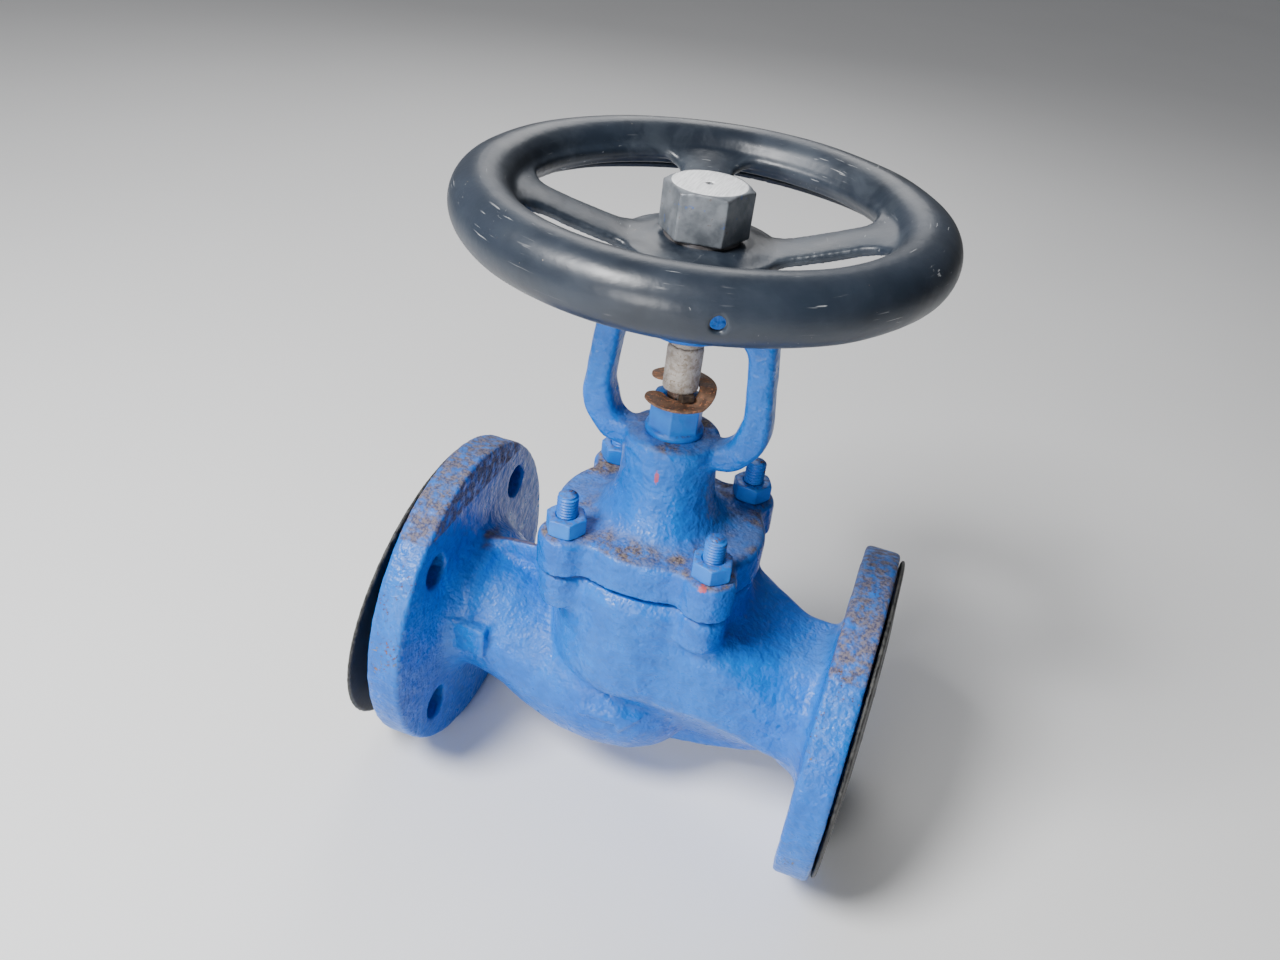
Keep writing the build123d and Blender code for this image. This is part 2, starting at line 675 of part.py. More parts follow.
def make_handwheel_washer():
    """The washer under the cap nut."""
    return ring(15.9, BUSH_THREAD_RADIUS + 0.1, HUB_HIGH, CAP_LOW)


def make_handwheel_nut():
    """The closed cap nut over the top of the bush and the stem."""
    nut = hexagon_with_chamfer(
        CAP_ACROSS_FLATS, CAP_LOW, CAP_TOP, CAP_CORNER_ANGLE, face=CAP_FACE, slope=CAP_SLOPE
    )
    thread = post(BUSH_THREAD_RADIUS, CAP_LOW - 1, BUSH_TOP + 0.5)
    hollow = post(9, BUSH_TOP - 4, CAP_TOP - 3.7)
    return nut - thread - hollow - Pos(0, 0, CAP_TOP) * Sphere(1.2)


# ---------------------------------------------------------------- flange covers

def make_cover(dish=0.0):
    """A flange cover lying on the XY plane, with its plug along +Z and its edge bent up by the dish."""
    half = COVER_THICKNESS / 2
    bend = RAISED_FACE_RADIUS + 1
    plate_points = [
        (0, -COVER_THICKNESS - 0.8), (40, -COVER_THICKNESS - 0.6), (bend, -COVER_THICKNESS),
        (COVER_RADIUS - 1, dish - COVER_THICKNESS), (COVER_RADIUS, dish - half),
        (COVER_RADIUS - 1, dish), (bend, 0), (0, 0),
    ]
    plug = ring(COVER_PLUG_RADIUS, COVER_PLUG_RADIUS - COVER_PLUG_WALL, -0.5, COVER_PLUG_LENGTH)
    return turned(plate_points) + plug


def make_outlet_cover():
    """The cover that sits square on the outlet flange."""
    return Pos(HALF_LENGTH + AXIAL_PLAY, 0, 0) * Rot(0, -90, 0) * make_cover(dish=OUTLET_COVER_DISH)


def make_inlet_cover():
    """The cover that hangs off the inlet flange, with its top edge close to the bolting face."""
    lean = (COVER_RADIUS - 1) * math.sin(math.radians(INLET_COVER_TILT))
    return Pos(-FLANGE_FRONT - AXIAL_PLAY - lean, 0, 0) * Rot(0, 90 + INLET_COVER_TILT, 0) * make_cover()


# ---------------------------------------------------------------- output

NODES = {
    "body": make_body,
    "bonnet": make_bonnet,
    "bonnet_gasket": make_gasket,
    "bonnet_studs": make_studs,
    "bonnet_nuts": make_stud_nuts,
    "guide_bush": make_guide_bush,
    "gland_packing": make_packing,
    "gland_follower": make_gland_follower,
    "gland_nut": make_gland_nut,
    "bellows": make_bellows,
    "bellows_lower_collar": make_bellows_lower_collar,
    "bellows_upper_collar": make_bellows_upper_collar,
    "seat_ring": make_seat_ring,
    "valve_disc": make_valve_disc,
    "disc_nut": make_disc_nut,
    "lower_stem": make_lower_stem,
    "upper_stem": make_upper_stem,
    "stem_sleeve": make_stem_sleeve,
    "stem_key": make_stem_key,
    "stem_clip": make_stem_clip,
    "yoke_bush": make_yoke_bush,
    "thrust_washer": make_thrust_washer,
    "boss_washer": make_boss_washer,
    "handwheel": make_handwheel,
    "handwheel_washer": make_handwheel_washer,
    "handwheel_nut": make_handwheel_nut,
    "inlet_flange_cover": make_inlet_cover,
    "outlet_flange_cover": make_outlet_cover,
}

os.makedirs("parts", exist_ok=True)
for node, make in NODES.items():
    made = make()
    solids = made if isinstance(made, list) else [made]
    placed = [Pos(FLANGE_FRONT, 0, 0) * solid for solid in solids]
    export_step(placed[0] if len(placed) == 1 else Compound(children=placed), f"parts/{node}.step")
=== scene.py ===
import json
import math

import bpy
import numpy as np
from mathutils import Matrix, Vector, noise


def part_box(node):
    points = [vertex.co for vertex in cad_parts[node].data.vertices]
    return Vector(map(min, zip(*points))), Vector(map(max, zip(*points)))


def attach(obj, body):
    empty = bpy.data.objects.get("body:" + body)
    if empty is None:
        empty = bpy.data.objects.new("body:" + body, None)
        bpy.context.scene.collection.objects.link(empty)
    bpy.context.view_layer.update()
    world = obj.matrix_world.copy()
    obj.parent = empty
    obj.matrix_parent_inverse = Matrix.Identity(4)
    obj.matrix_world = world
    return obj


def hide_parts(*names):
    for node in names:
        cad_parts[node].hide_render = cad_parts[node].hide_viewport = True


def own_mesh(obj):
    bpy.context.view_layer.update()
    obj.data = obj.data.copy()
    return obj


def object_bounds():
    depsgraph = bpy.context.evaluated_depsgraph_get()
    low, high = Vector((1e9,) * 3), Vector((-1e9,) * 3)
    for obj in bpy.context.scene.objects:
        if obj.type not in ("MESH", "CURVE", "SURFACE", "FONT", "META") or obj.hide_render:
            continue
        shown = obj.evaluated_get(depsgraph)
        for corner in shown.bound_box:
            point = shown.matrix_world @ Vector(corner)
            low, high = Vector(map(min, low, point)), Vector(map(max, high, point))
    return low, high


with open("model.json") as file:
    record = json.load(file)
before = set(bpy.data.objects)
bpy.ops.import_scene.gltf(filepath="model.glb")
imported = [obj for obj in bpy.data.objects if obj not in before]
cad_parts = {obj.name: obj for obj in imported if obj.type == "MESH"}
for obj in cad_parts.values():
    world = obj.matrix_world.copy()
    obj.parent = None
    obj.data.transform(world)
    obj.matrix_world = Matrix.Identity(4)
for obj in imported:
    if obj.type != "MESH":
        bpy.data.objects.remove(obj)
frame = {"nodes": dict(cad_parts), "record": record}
cad_box = [list(corner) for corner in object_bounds()]
NODES = frame["nodes"]
MM = 0.001

# Places in the frame, in metres: the pipe runs along X, and the stem stands on STEM_X.
BODY_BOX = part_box("body")
NUT_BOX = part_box("handwheel_nut")
STEM_X = (NUT_BOX[0].x + NUT_BOX[1].x) / 2
FLANGE_RADIUS = (BODY_BOX[1].y - BODY_BOX[0].y) / 2
INLET_FACE = BODY_BOX[0].x
OUTLET_FACE = BODY_BOX[1].x
FLANGE_REACH = 20.0 * MM
BONNET_FLANGE_TOP = 85.3 * MM
NECK_TOP = 131.0 * MM
SPOKE_ANGLE = 16.0
SPOKE_HALF_WIDTH = 11.5 * MM
SPOKE_CROWN = 1.8 * MM
STUD_CREST = 4.9 * MM
THREAD_DEPTH = 0.75 * MM
THREAD_PITCH = 1.5 * MM

# The most triangles in one exported piece stay well under 200,000.
CASTING_TRIANGLES = 190000
COVER_TRIANGLES = 150000

# The camera: its place, its direction about the valve and its tilt in degrees, its lens in mm.
CAMERA_PLACE = (0.211, -0.3961, 0.3722)
CAMERA_AZIMUTH = 15.74
CAMERA_ELEVATION = 33.59
CAMERA_ROLL = 7.456
CAMERA_LENS = 29.62
SENSOR_WIDTH = 36.0

# The room: brightness, its colour on the left and on the right, and the lights.
WORLD_STRENGTH = 0.26
ROOM_LEFT = (0.96, 0.97, 1.0, 1)
ROOM_RIGHT = (0.20, 0.21, 0.23, 1)
LIGHTS = [  # name, place, size, power
    ("key", (-0.40, -0.70, 1.10), 0.45, 30),
    ("front", (-0.05, -1.3, 0.35), 0.5, 9),
    ("back", (-0.30, 1.1, 1.0), 0.8, 6),
]
LIGHTS_AIM = (STEM_X, 0.0, 0.06)
FLOOR_HALF = 6.0


# ---------------------------------------------------------------- meshes

def coordinates(mesh):
    """The vertices of a mesh as an array."""
    flat = np.empty(len(mesh.vertices) * 3)
    mesh.vertices.foreach_get("co", flat)
    return flat.reshape(-1, 3)


def normals(mesh):
    """The vertex normals of a mesh as an array."""
    flat = np.empty(len(mesh.vertices) * 3)
    mesh.vertex_normals.foreach_get("vector", flat)
    return flat.reshape(-1, 3)


def set_coordinates(mesh, places):
    mesh.vertices.foreach_set("co", np.asarray(places, float).ravel())
    mesh.update()


def apply_modifiers(piece):
    """Makes what the modifiers give the piece's own mesh."""
    graph = bpy.context.evaluated_depsgraph_get()
    made = bpy.data.meshes.new_from_object(piece.evaluated_get(graph))
    old = piece.data
    piece.modifiers.clear()
    piece.data = made
    bpy.data.meshes.remove(old)


def shade_smooth(piece):
    piece.data.polygons.foreach_set("use_smooth", [True] * len(piece.data.polygons))
    piece.data.update()


def new_piece(name, vertices, faces):
    """A smooth-shaded piece from vertices and faces."""
    mesh = bpy.data.meshes.new(name)
    mesh.from_pydata([tuple(v) for v in vertices], [], faces)
    piece = bpy.data.objects.new(name, mesh)
    bpy.context.scene.collection.objects.link(piece)
    shade_smooth(piece)
    return piece


def copy_of(node, name):
    """A piece with the CAD node's shape, its split corners joined up."""
    piece = bpy.data.objects.new(name, NODES[node].data.copy())
    piece.data.materials.clear()
    bpy.context.scene.collection.objects.link(piece)
    weld = piece.modifiers.new("weld", "WELD")
    weld.merge_threshold = 0.002 * MM
    apply_modifiers(piece)
    return piece


def remesh(piece, voxel):
    """Turns the piece into an even mesh of small squares."""
    grid = piece.modifiers.new("remesh", "REMESH")
    grid.mode = "VOXEL"
    grid.voxel_size = voxel
    apply_modifiers(piece)


def relax(piece, rounds, weight=None, keep_size=True):
    """Smooths the mesh, by weight at each vertex; keep_size pushes back so that it doesn't shrink."""
    mesh = piece.data
    places = coordinates(mesh)
    count = len(places)
    ends = np.empty(len(mesh.edges) * 2, int)
    mesh.edges.foreach_get("vertices", ends)
    first, second = ends.reshape(-1, 2).T
    neighbours = np.maximum(np.bincount(ends, minlength=count), 1)[:, None]
    strength = np.ones((count, 1)) if weight is None else np.asarray(weight, float)[:, None]
    for turn in range(rounds):
        total = np.empty_like(places)
        for axis in range(3):
            total[:, axis] = np.bincount(first, places[second, axis], count)
            total[:, axis] += np.bincount(second, places[first, axis], count)
        push = -0.52 if keep_size and turn % 2 else 0.5
        places += push * strength * (total / neighbours - places)
    set_coordinates(mesh, places)


def lump(piece, size, height, weight=None, seed=0.0):
    """Raises and lowers the surface gently, as a sand-cast skin does."""
    mesh = piece.data
    places, out = coordinates(mesh), normals(mesh)
    shift = Vector((seed, seed * 0.7, seed * 1.3))
    waves = np.array([noise.noise(Vector(place) / size + shift) for place in places])
    strength = 1.0 if weight is None else weight
    set_coordinates(mesh, places + out * (waves * height * strength)[:, None])


def thin_out(piece, most):
    """Brings the piece under a number of triangles."""
    triangles = sum(len(p.vertices) - 2 for p in piece.data.polygons)
    if triangles > most:
        thin = piece.modifiers.new("thin", "DECIMATE")
        thin.ratio = most / triangles
        apply_modifiers(piece)


def keep_inside(piece, *nodes):
    """Holds every vertex inside the box of the CAD nodes it stands for."""
    corners = [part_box(node) for node in nodes]
    low = np.min([list(c[0]) for c in corners], axis=0)
    high = np.max([list(c[1]) for c in corners], axis=0)
    set_coordinates(piece.data, np.clip(coordinates(piece.data), low, high))


def finish_piece(piece, body, material, slot, *nodes):
    """Gives the piece its material and body, and hides the CAD nodes it stands for; slot is not used.
    """
    piece.data.materials.clear()
    piece.data.materials.append(material)
    shade_smooth(piece)
    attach(piece, body)
    if nodes:
        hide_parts(*nodes)
    return piece


def softened(node, name, voxel, rounds):
    """A copy of a CAD node with its edges rounded by remeshing and smoothing."""
    piece = copy_of(node, name)
    remesh(piece, voxel)
    relax(piece, rounds)
    return piece


# ---------------------------------------------------------------- materials

class Tree:
    """A short way to write shader nodes; sockets passed as values are linked."""

    def __init__(self, name):
        self.material = bpy.data.materials.new(name)
        self.material.use_nodes = True
        self.nodes = self.material.node_tree.nodes
        self.links = self.material.node_tree.links
        self.nodes.clear()
        self.place = self.add("ShaderNodeTexCoord").outputs["Object"]
        self.geometry = self.add("ShaderNodeNewGeometry")

    def add(self, kind, inputs=None, **settings):
        node = self.nodes.new(kind)
        for key, value in settings.items():
            setattr(node, key, value)
        for key, value in (inputs or {}).items():
            if isinstance(value, bpy.types.NodeSocket):
                self.links.new(value, node.inputs[key])
            else:
                node.inputs[key].default_value = value
        return node

    def noise(self, size, detail=3.0, roughness=0.55, warp=0.0, place=None):
        """Noise whose features are about size metres across, from 0 to 1."""
        inputs = {"Vector": place or self.place, "Scale": 1 / size, "Detail": detail,
                  "Roughness": roughness, "Distortion": warp}
        return self.add("ShaderNodeTexNoise", inputs).outputs["Fac"]

    def calc(self, operation, *values):
        inputs = dict(enumerate(values))
        return self.add("ShaderNodeMath", inputs, operation=operation).outputs[0]

    def step(self, value, low, high):
        """0 below low, 1 above high, and smooth between; low may be the larger."""
        inputs = {"Value": value, "From Min": low, "From Max": high}
        return self.add("ShaderNodeMapRange", inputs, interpolation_type="SMOOTHSTEP").outputs[0]

    def blend(self, share, first, second):
        node = self.add("ShaderNodeMix", {0: share, 6: first, 7: second}, data_type="RGBA")
        return node.outputs[2]

    def number(self, share, first, second):
        return self.add("ShaderNodeMix", {0: share, 2: first, 3: second}).outputs[0]

    def split(self, vector):
        return self.add("ShaderNodeSeparateXYZ", {0: vector}).outputs

    def upward(self):
        """The height of the surface's direction: 1 on top, 0 on a wall."""
        return self.split(self.geometry.outputs["Normal"])[2]

    def moved(self, location=(0, 0, 0), rotation=(0, 0, 0), scale=(1, 1, 1), place=None):
        inputs = {"Vector": place or self.place, "Location": location, "Rotation": rotation,
                  "Scale": scale}
        return self.add("ShaderNodeMapping", inputs).outputs[0]

    def bump(self, height, depth, below=None):
        """Relief of depth metres from a height of 0 to 1."""
        inputs = {"Height": height, "Distance": depth, "Strength": 1.0}
        if below is not None:
            inputs["Normal"] = below
        return self.add("ShaderNodeBump", inputs).outputs[0]

    def surface(self, **inputs):
        """The finished shader; the names are the Principled sockets with _ for a space."""
        named = {key.replace("_", " "): value for key, value in inputs.items()}
        shader = self.add("ShaderNodeBsdfPrincipled", named)
        self.add("ShaderNodeOutputMaterial", {"Surface": shader.outputs[0]})
        return self.material


BLUE = (0.0005, 0.125, 0.560, 1)
BLUE_DEEP = (0.0005, 0.040, 0.220, 1)
BLUE_PALE = (0.002, 0.190, 0.700, 1)
CHALK = (0.070, 0.230, 0.520, 1)
RUST = (0.095, 0.042, 0.018, 1)
RUST_BRIGHT = (0.270, 0.115, 0.045, 1)
PRIMER = (0.240, 0.210, 0.175, 1)
DUST = (0.205, 0.150, 0.092, 1)
GRIT = (0.060, 0.037, 0.020, 1)
RED_PAINT = (0.480, 0.060, 0.045, 1)


def edges(t, low=0.52, high=0.60):
    """1 on outward edges, where paint wears."""
    return t.step(t.geometry.outputs["Pointiness"], low, high)


def painted_shade_in_hollows(t, low=0.48, high=0.42):
    """1 in inward corners, where painted shade darkens the colour."""
    return t.step(t.geometry.outputs["Pointiness"], low, high)


def both(t, *values):
    """The product of masks: high where all are."""
    result = values[0]
    for value in values[1:]:
        result = t.calc("MULTIPLY", result, value)
    return result


def either(t, *values):
    """The largest of masks: high where one is."""
    result = values[0]
    for value in values[1:]:
        result = t.calc("MAXIMUM", result, value)
    return result


def length_of(t, first, second):
    """The length of a step of first one way and second across it."""
    squares = [t.calc("POWER", value, 2.0) for value in (first, second)]
    return t.calc("SQRT", t.calc("ADD", *squares))


def from_stem(t):
    """The distance from the stem's axis."""
    x, y = t.split(t.place)[0:2]
    return length_of(t, t.calc("SUBTRACT", x, STEM_X), y)


def from_pipe(t):
    """The distance from the pipe's axis."""
    y, z = t.split(t.place)[1:3]
    return length_of(t, y, z)


def cast_paint(t):
    """The thick blue paint over a sand-cast skin: its colour, relief and roughness."""
    broad = t.step(t.noise(60 * MM, 2.0), 0.3, 0.7)
    fine = t.step(t.noise(7 * MM, 3.0), 0.3, 0.7)
    colour = t.blend(t.calc("MULTIPLY", broad, 0.6), BLUE, BLUE_PALE)
    colour = t.blend(t.calc("MULTIPLY", fine, 0.28), colour, BLUE_DEEP)
    # Painted shade: the paint turns deep blue in the inward corners.
    colour = t.blend(t.calc("MULTIPLY", painted_shade_in_hollows(t), 0.6), colour, BLUE_DEEP)
    chalk = both(t, t.step(t.upward(), 0.15, 0.95), t.step(t.noise(24 * MM, 4.0), 0.35, 0.7))
    colour = t.blend(t.calc("MULTIPLY", chalk, 0.22), colour, CHALK)
    relief = t.bump(t.noise(5.5 * MM, 2.0), 1.5 * MM)
    relief = t.bump(t.noise(2.2 * MM, 2.0, 0.5), 0.45 * MM, relief)
    relief = t.bump(t.noise(0.9 * MM, 3.0, 0.6), 0.08 * MM, relief)
    rough = t.number(fine, 0.26, 0.40)
    return colour, relief, t.number(chalk, rough, 0.55)


def add_rust(t, colour, relief, rough, where, size=1.9, amount=0.42):
    """Chips through to rust and grey primer, thick where the mask is high."""
    grain = t.noise(size * MM, 6.0, 0.72)
    cut = t.calc("SUBTRACT", 0.83, t.calc("MULTIPLY", where, amount))
    chip = t.step(t.calc("SUBTRACT", grain, cut), 0.0, 0.04)
    shade = t.step(t.noise(1.1 * MM, 3.0), 0.35, 0.65)
    rusty = t.blend(shade, RUST, RUST_BRIGHT)
    rusty = t.blend(t.step(t.noise(9 * MM, 2.0), 0.48, 0.6), rusty, PRIMER)
    colour = t.blend(chip, colour, rusty)
    sunk = t.bump(t.calc("SUBTRACT", 1.0, chip), 0.12 * MM, relief)
    return colour, sunk, t.number(chip, rough, 0.82)


def add_dust(t, colour, rough, share):
    """Brown-grey dust and grit lying on the paint."""
    grit = t.step(t.noise(1.3 * MM, 3.0, 0.7), 0.42, 0.62)
    dirt_and_shade = t.blend(grit, DUST, GRIT)
    return t.blend(share, colour, dirt_and_shade), t.number(share, rough, 0.9)


def body_paint():
    """Cast paint with rust on the flange rims and the web, and dust in the gap under the bonnet."""
    t = Tree("blue_paint_body")
    colour, relief, rough = cast_paint(t)
    x, _, z = t.split(t.place)[0:3]
    rim = t.step(from_pipe(t), FLANGE_RADIUS - 4 * MM, FLANGE_RADIUS - 1.2 * MM)
    patches = t.step(t.noise(26 * MM, 3.0), 0.42, 0.62)
    worn = either(t, both(t, rim, t.number(patches, 0.20, 0.64)), t.calc("MULTIPLY", edges(t), 0.60),
                  t.calc("MULTIPLY", t.step(t.noise(34 * MM, 2.0), 0.56, 0.7), 0.42))
    colour, relief, rough = add_rust(t, colour, relief, rough, worn)
    web_low, web_high = INLET_FACE + FLANGE_REACH, STEM_X - 38 * MM
    on_web = both(t, t.step(t.upward(), 0.75, 0.95), t.step(z, 36 * MM, 38 * MM),
                  t.step(x, web_low - 2 * MM, web_low), t.step(x, web_high, web_high - 4 * MM))
    crust = t.blend(t.step(t.noise(2.2 * MM, 4.0), 0.4, 0.6), RUST, GRIT)
    colour = t.blend(t.calc("MULTIPLY", on_web, 0.8), colour, crust)
    gap = both(t, t.step(z, 63.6 * MM, 64.6 * MM), t.step(t.noise(4 * MM, 3.0), 0.3, 0.6))
    colour, rough = add_dust(t, colour, rough, t.calc("MULTIPLY", gap, 0.8))
    return t.surface(Base_Color=colour, Roughness=rough, Normal=relief, Specular_IOR_Level=0.4)


def spot(t, centre, size):
    """1 inside an uneven spot about a point, with its half sizes along X, Y and Z."""
    shifted = t.moved(location=[-c / s for c, s in zip(centre, size)], scale=[1 / s for s in size])
    distance = t.add("ShaderNodeVectorMath", {0: shifted}, operation="LENGTH").outputs["Value"]
    ragged = t.calc("ADD", distance, t.calc("MULTIPLY", t.noise(1.6 * MM, 3.0), 1.4))
    return t.step(ragged, 1.75, 1.45)


def red_marks(t, colour):
    """A drip of red paint on the front of the neck and a speck by the front right nut."""
    marks = either(
        t, spot(t, (STEM_X + 0.9 * MM, -22 * MM, 117.5 * MM), (1.1 * MM, 6 * MM, 4.0 * MM)),
        spot(t, (STEM_X + 34 * MM, -44.5 * MM, 84 * MM), (2.6 * MM, 3 * MM, 1.5 * MM)),
    )
    return t.blend(t.calc("MULTIPLY", marks, 0.8), colour, RED_PAINT)


def bonnet_paint():
    """Cast paint with dust lying on the flange and the shelf of the neck, and the red marks."""
    t = Tree("blue_paint_bonnet")
    colour, relief, rough = cast_paint(t)
    z = t.split(t.place)[2]
    worn = either(t, t.calc("MULTIPLY", edges(t, 0.53, 0.62), 0.5),
                  t.calc("MULTIPLY", t.step(t.noise(22 * MM, 2.0), 0.56, 0.7), 0.3))
    colour, relief, rough = add_rust(t, colour, relief, rough, worn)
    on_flange = both(t, t.step(z, BONNET_FLANGE_TOP - 3 * MM, BONNET_FLANGE_TOP - 0.5 * MM),
                     t.step(z, BONNET_FLANGE_TOP + 8 * MM, BONNET_FLANGE_TOP + 1 * MM))
    on_shelf = both(t, t.step(z, NECK_TOP - 11 * MM, NECK_TOP - 4 * MM),
                    t.step(z, NECK_TOP + 7 * MM, NECK_TOP + 1 * MM))
    lying = both(t, either(t, on_flange, on_shelf), t.step(t.upward(), 0.55, 0.95))
    scatter = t.step(t.noise(7 * MM, 5.0, 0.75), 0.30, 0.56)
    heaps = t.number(t.step(t.noise(20 * MM, 2.0), 0.40, 0.60), 0.30, 1.0)
    share = t.calc("MULTIPLY", both(t, lying, scatter, heaps), 0.92)
    colour, rough = add_dust(t, colour, rough, share)
    relief = t.bump(both(t, share, t.noise(1.5 * MM, 3.0)), 0.35 * MM, relief)
    colour = red_marks(t, colour)
    return t.surface(Base_Color=colour, Roughness=rough, Normal=relief, Specular_IOR_Level=0.4)


def stud_paint():
    """Smoother paint on the studs and nuts, worn at the edges."""
    t = Tree("stud_paint")
    broad = t.step(t.noise(12 * MM, 3.0), 0.3, 0.7)
    colour = t.blend(broad, BLUE, BLUE_PALE)
    # Painted shade: dark blue in the inward corners of the nuts and studs.
    colour = t.blend(t.calc("MULTIPLY", painted_shade_in_hollows(t), 0.8), colour, (0.010, 0.045, 0.150, 1))
    relief = t.bump(t.noise(2.5 * MM, 3.0), 0.12 * MM)
    worn = t.calc("MULTIPLY", edges(t, 0.52, 0.60), 0.75)
    colour, relief, rough = add_rust(t, colour, relief, t.number(broad, 0.34, 0.5), worn, 1.6)
    dusty = both(t, t.step(t.upward(), 0.6, 0.98), t.step(t.noise(2 * MM, 4.0), 0.42, 0.66))
    colour, rough = add_dust(t, colour, rough, t.calc("MULTIPLY", dusty, 0.55))
    return t.surface(Base_Color=colour, Roughness=rough, Normal=relief, Specular_IOR_Level=0.5)


def wheel_paint():
    """Dark blue-grey paint with scuffs along the rim and pale dust on the spokes."""
    t = Tree("wheel_paint")
    broad = t.step(t.noise(45 * MM, 3.0), 0.3, 0.7)
    colour = t.blend(broad, (0.0090, 0.0140, 0.0230, 1), (0.019, 0.028, 0.044, 1))
    x, y, z = t.split(t.place)[0:3]
    radius = from_stem(t)
    inner = t.step(radius, 90 * MM, 66 * MM)
    film = t.step(t.noise(18 * MM, 5.0, 0.65, 0.6), 0.40, 0.72)
    haze = t.calc("MULTIPLY", film, t.number(inner, 0.08, 0.34))
    colour = t.blend(haze, colour, (0.105, 0.125, 0.150, 1))
    angle = t.calc("ARCTAN2", y, t.calc("SUBTRACT", x, STEM_X))
    along = t.add("ShaderNodeCombineXYZ", {0: t.calc("MULTIPLY", angle, 0.088), 1: radius, 2: z})
    along = along.outputs[0]
    lines = t.noise(1.0 * MM, 2.0, 0.5, 0.3, t.moved(scale=(0.06, 1.0, 1.0), place=along))
    areas = t.step(t.noise(30 * MM, 3.0), 0.52, 0.66)
    scratch = both(t, t.step(lines, 0.66, 0.70), areas)
    turned = t.moved(rotation=(0.3, 0.5, 0.9), scale=(1.0, 0.08, 1.0))
    cross = both(t, t.step(t.noise(1.2 * MM, 2.0, 0.5, 0.2, turned), 0.69, 0.72),
                 t.step(t.noise(22 * MM, 3.0), 0.55, 0.68))
    marks = either(t, scratch, cross)
    colour = t.blend(t.calc("MULTIPLY", marks, 0.75), colour, (0.36, 0.37, 0.38, 1))
    grain = t.noise(2.0 * MM, 4.0, 0.65)
    chip = both(t, t.step(grain, 0.70, 0.73), t.step(t.noise(35 * MM, 2.0), 0.5, 0.62))
    colour = t.blend(chip, colour, t.blend(t.step(t.noise(6 * MM), 0.45, 0.55), RUST, PRIMER))
    relief = t.bump(t.noise(9 * MM, 2.0), 0.25 * MM)
    relief = t.bump(t.noise(1.0 * MM, 3.0), 0.03 * MM, relief)
    rough = t.number(either(t, marks, haze), t.number(broad, 0.30, 0.42), 0.62)
    return t.surface(Base_Color=colour, Roughness=rough, Normal=relief, Specular_IOR_Level=0.55)


def cap_steel():
    """Dull zinc with rubbed brown corners, and a bright turned face on top."""
    t = Tree("cap_steel")
    z = t.split(t.place)[2]
    cloud = t.step(t.noise(7 * MM, 4.0), 0.32, 0.68)
    colour = t.blend(cloud, (0.130, 0.145, 0.165, 1), (0.255, 0.275, 0.300, 1))
    brown = either(t, t.calc("MULTIPLY", edges(t), 0.8), t.step(t.noise(3.5 * MM, 4.0), 0.64, 0.72))
    colour = t.blend(t.calc("MULTIPLY", brown, 0.55), colour, (0.140, 0.090, 0.060, 1))
    bluish = t.step(t.noise(5 * MM, 3.0), 0.66, 0.74)
    colour = t.blend(t.calc("MULTIPLY", bluish, 0.45), colour, BLUE)
    face = t.step(from_stem(t), 15.4 * MM, 15.1 * MM)
    top = both(t, face, t.step(z, NUT_BOX[1].z - 0.6 * MM, NUT_BOX[1].z - 0.3 * MM))
    brushed = t.noise(0.7 * MM, 3.0, 0.6, 0.0, t.moved(scale=(1.0, 0.07, 1.0), rotation=(0, 0, 0.5)))
    silver = t.blend(t.step(brushed, 0.3, 0.7), (0.50, 0.51, 0.52, 1), (0.74, 0.75, 0.76, 1))
    colour = t.blend(top, colour, silver)
    rough = t.number(top, t.number(cloud, 0.42, 0.60), 0.30)
    metal = t.number(top, 0.45, 0.9)
    relief = t.bump(t.noise(2.2 * MM, 4.0), 0.06 * MM)
    relief = t.bump(brushed, 0.012 * MM, relief)
    return t.surface(Base_Color=colour, Roughness=rough, Metallic=metal, Normal=relief)


def mottled(name, dark, pale, size=3.0, metallic=0.0, rough=(0.5, 0.8), depth=0.08, third=None,
            hollow_shade_strength=0.6):
    """A two-tone worn surface with fine relief and painted shade in its hollows, for the small parts.
    """
    t = Tree(name)
    cloud = t.step(t.noise(size * MM, 5.0, 0.65), 0.34, 0.66)
    colour = t.blend(cloud, dark, pale)
    if third is not None:
        spots = t.step(t.noise(size * 0.45 * MM, 4.0), 0.56, 0.66)
        colour = t.blend(spots, colour, third)
    # Painted shade: a darker copy of the dark tone, laid in the inward corners.
    dirt_and_shade = tuple(c * 0.4 for c in dark[:3]) + (1,)
    colour = t.blend(t.calc("MULTIPLY", painted_shade_in_hollows(t), hollow_shade_strength), colour, dirt_and_shade)
    relief = t.bump(t.noise(size * 0.3 * MM, 4.0, 0.65), depth * MM)
    return t.surface(Base_Color=colour, Roughness=t.number(cloud, *rough), Normal=relief,
                     Metallic=metallic)


def turned_metal(name, dark, pale, rough=(0.22, 0.38)):
    """Machined metal with fine rings round the stem."""
    t = Tree(name)
    z = t.split(t.place)[2]
    rings = t.add("ShaderNodeCombineXYZ", {0: from_stem(t), 1: 0.0, 2: z}).outputs[0]
    line = t.noise(0.35 * MM, 2.0, 0.5, 0.0, rings)
    cloud = t.step(t.noise(12 * MM, 3.0), 0.35, 0.65)
    colour = t.blend(t.step(line, 0.3, 0.7), dark, pale)
    return t.surface(Base_Color=colour, Roughness=t.number(cloud, *rough), Metallic=1.0,
                     Normal=t.bump(line, 0.02 * MM))


